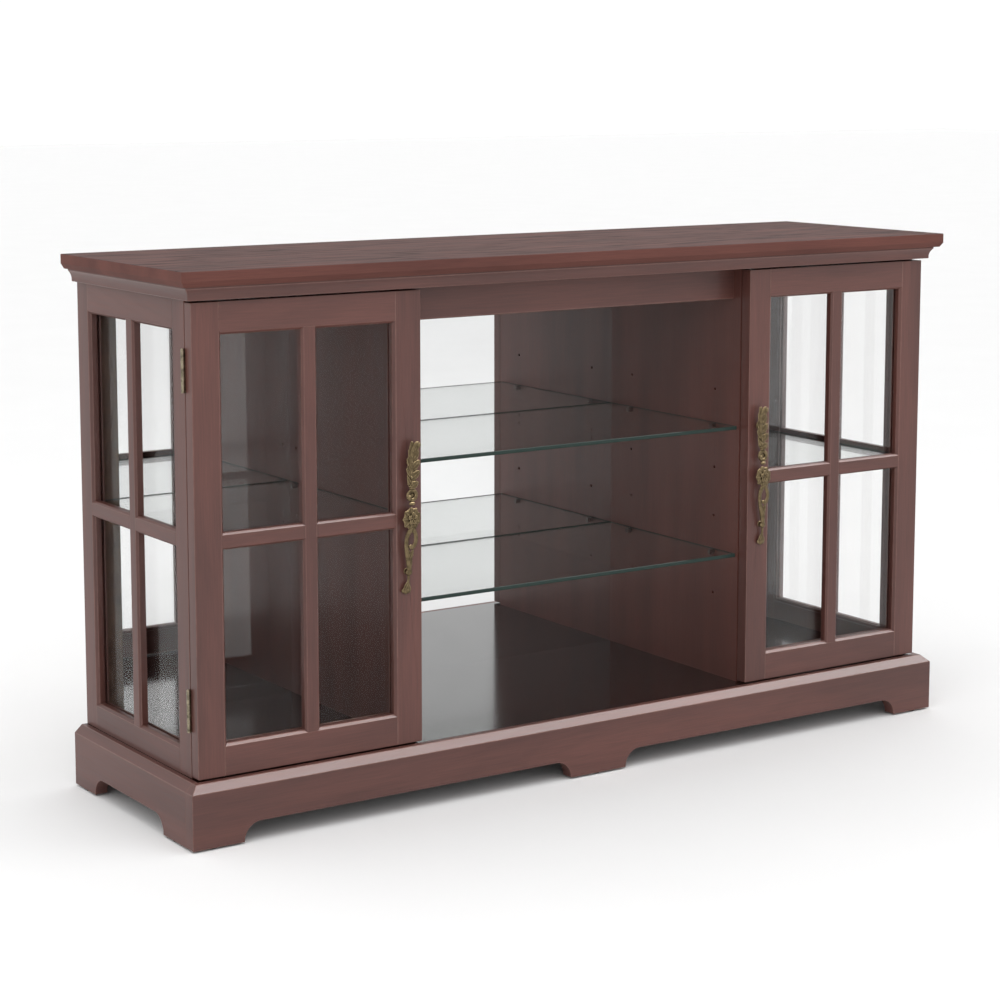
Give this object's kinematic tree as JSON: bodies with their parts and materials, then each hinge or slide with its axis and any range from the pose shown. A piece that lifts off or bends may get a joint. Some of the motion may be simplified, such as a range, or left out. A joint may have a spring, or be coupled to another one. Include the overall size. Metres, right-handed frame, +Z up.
{
  "type": "china cabinet",
  "caption": "Low display cabinet with an open mirrored middle bay, a glazed door and glazed end on each side, glass shelves, a moulded top and a plinth with bracket feet.",
  "frame": {"origin": "on the floor, under the middle of the cabinet's outline", "axes": "+X to the cabinet's right end as seen from its front, +Y from its front to its back, +Z up"},
  "size_m": [1.4, 0.4, 0.81],
  "materials": {
    "top_wood": "red-brown stained open-grain veneer, satin lacquer",
    "wood": "red-brown stained wood, satin lacquer",
    "floor_wood": "red-brown stained veneer, polished",
    "inner_wood": "stained secondary wood, unpolished",
    "hardboard": "dark brown hardboard, matt",
    "glass": "clear float glass",
    "shelf_glass": "clear float glass with ground edges",
    "mirror": "silvered glass",
    "antique_brass": "cast, darkened in the hollows",
    "hinge_brass": "satin antique plate",
    "nickel": "nickel plate",
    "steel": "zinc plate",
    "black_plastic": "moulded"
  },
  "bodies": {
    "cabinet": {"back_panel": "hardboard", "bottom_panel": "floor_wood", "cabinet_screws": "steel", "center_mirror": "mirror", "crown_moulding_front": "wood", "crown_moulding_left": "wood", "crown_moulding_right": "wood", "floor_glides": "black_plastic", "header_rail": "wood", "hinge_frame_leaves": "hinge_brass", "hinge_pins": "hinge_brass", "left_divider": "wood", "left_end_beads": "wood", "left_end_glass": "glass", "left_end_muntins": "wood", "left_end_rails": "wood", "left_end_stiles": "wood", "left_mirror": "mirror", "left_shelf": "shelf_glass", "lower_center_shelf": "shelf_glass", "magnet_catches": "black_plastic", "plinth_back": "wood", "plinth_corner_blocks": "inner_wood", "plinth_front": "wood", "plinth_left": "wood", "plinth_right": "wood", "right_divider": "wood", "right_end_beads": "wood", "right_end_glass": "glass", "right_end_muntins": "wood", "right_end_rails": "wood", "right_end_stiles": "wood", "right_mirror": "mirror", "right_shelf": "shelf_glass", "shelf_pins": "nickel", "top_board": "top_wood", "top_frame_back_rail": "inner_wood", "top_frame_front_rail": "wood", "top_frame_side_rails": "inner_wood", "upper_center_shelf": "shelf_glass"},
    "left_door": {"left_door_beads": "wood", "left_door_glass": "glass", "left_door_handle": "antique_brass", "left_door_hinge_leaves": "hinge_brass", "left_door_hinge_stile": "wood", "left_door_lock_stile": "wood", "left_door_muntins": "wood", "left_door_rails": "wood", "left_door_screws": "steel", "left_door_strike_plate": "nickel"},
    "right_door": {"right_door_beads": "wood", "right_door_glass": "glass", "right_door_handle": "antique_brass", "right_door_hinge_leaves": "hinge_brass", "right_door_hinge_stile": "wood", "right_door_lock_stile": "wood", "right_door_muntins": "wood", "right_door_rails": "wood", "right_door_screws": "steel", "right_door_strike_plate": "nickel"}
  },
  "joints": [
    {"name": "left_door_hinge", "type": "hinge", "parent": "cabinet", "child": "left_door", "pos_m": [-0.6781, -0.153, 0.43], "axis": [0, 0, -1], "range_deg": [0, 180]},
    {"name": "right_door_hinge", "type": "hinge", "parent": "cabinet", "child": "right_door", "pos_m": [0.6781, -0.153, 0.43], "axis": [0, 0, 1], "range_deg": [0, 180]}
  ]
}
